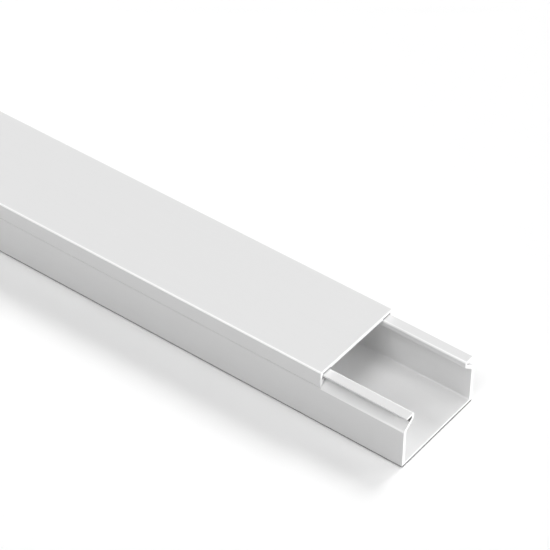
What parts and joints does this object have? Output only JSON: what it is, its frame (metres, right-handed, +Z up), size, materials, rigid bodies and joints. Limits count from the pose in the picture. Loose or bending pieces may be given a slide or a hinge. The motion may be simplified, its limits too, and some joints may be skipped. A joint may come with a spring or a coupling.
{
  "type": "cable trunking",
  "caption": "Clip-on mini trunking: a plain U-shaped base with inward slopes and snap lips, and a flat cover with hooked flanges, to carry cables along a wall.",
  "frame": {"origin": "middle of the base's flat back, halfway along the base", "axes": "+X along the stock towards the bared end, +Y across it, +Z up from the back to the cover"},
  "size_m": [2.0292, 0.035, 0.02],
  "materials": {
    "base_pvc": "light grey-white rigid PVC, as extruded, with a soft satin sheen",
    "cover_pvc": "light grey-white rigid PVC, as extruded, with a soft satin sheen"
  },
  "bodies": {
    "base": {"trunking_base": "base_pvc"},
    "cover": {"trunking_cover": "cover_pvc"}
  },
  "joints": [
    {"name": "cover_slide", "type": "slide", "parent": "base", "child": "cover", "axis": [1, 0, 0], "range_m": [-1, 0.0292]}
  ]
}
